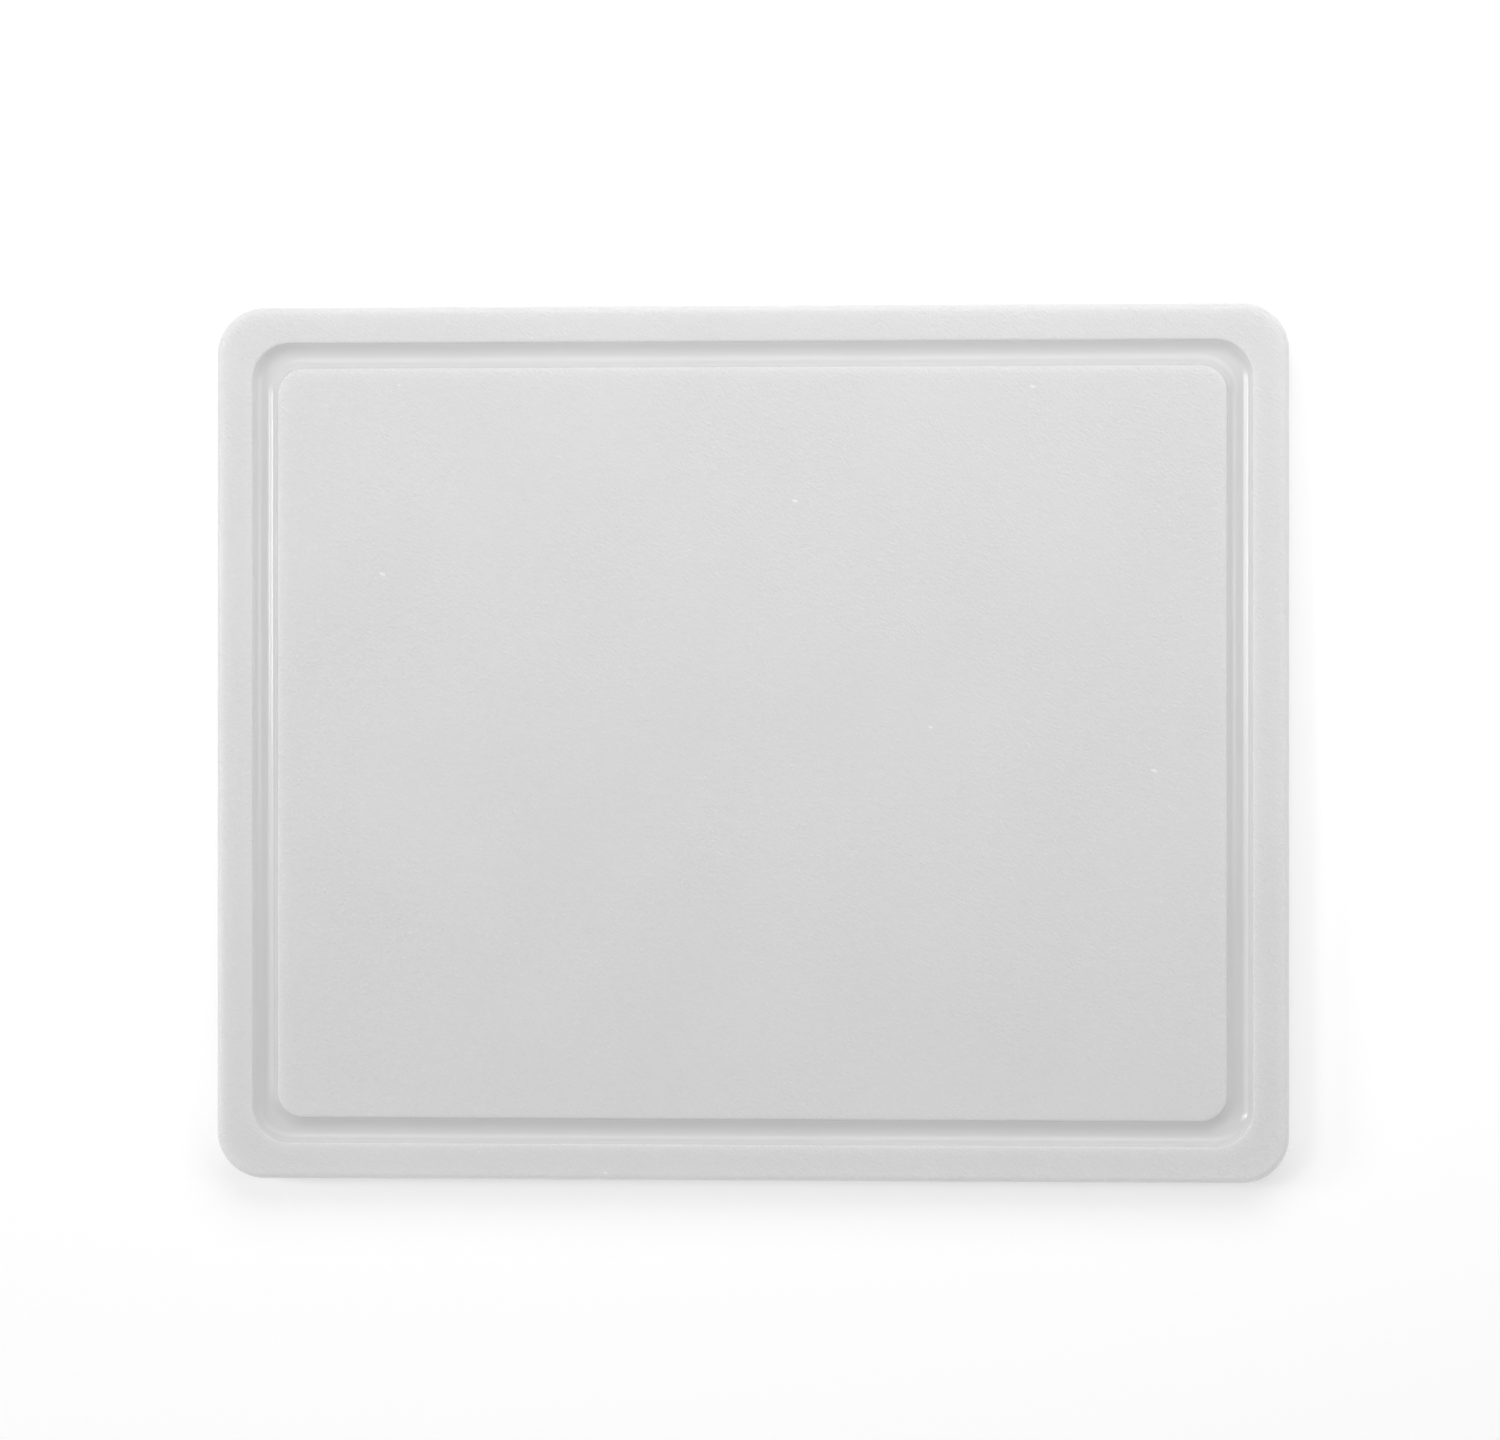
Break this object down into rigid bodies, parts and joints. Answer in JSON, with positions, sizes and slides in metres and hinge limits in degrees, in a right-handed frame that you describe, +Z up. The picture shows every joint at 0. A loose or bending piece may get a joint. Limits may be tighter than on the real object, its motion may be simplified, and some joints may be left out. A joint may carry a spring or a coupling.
{
  "type": "cutting board",
  "caption": "Flat rectangular plastic cutting board with rounded corners and edges and a shallow juice groove running all round its upper face.",
  "frame": {"origin": "centre of the underside, the plain face that the board rests on", "axes": "+X along the 325 mm length, +Y along the 265 mm width, +Z up, out of the grooved cutting face"},
  "size_m": [0.325, 0.265, 0.012],
  "materials": {
    "board_plastic": "fine pressed grain on both faces, smoother in the groove, slightly translucent"
  },
  "bodies": {
    "root": {"board": "board_plastic"}
  },
  "joints": []
}
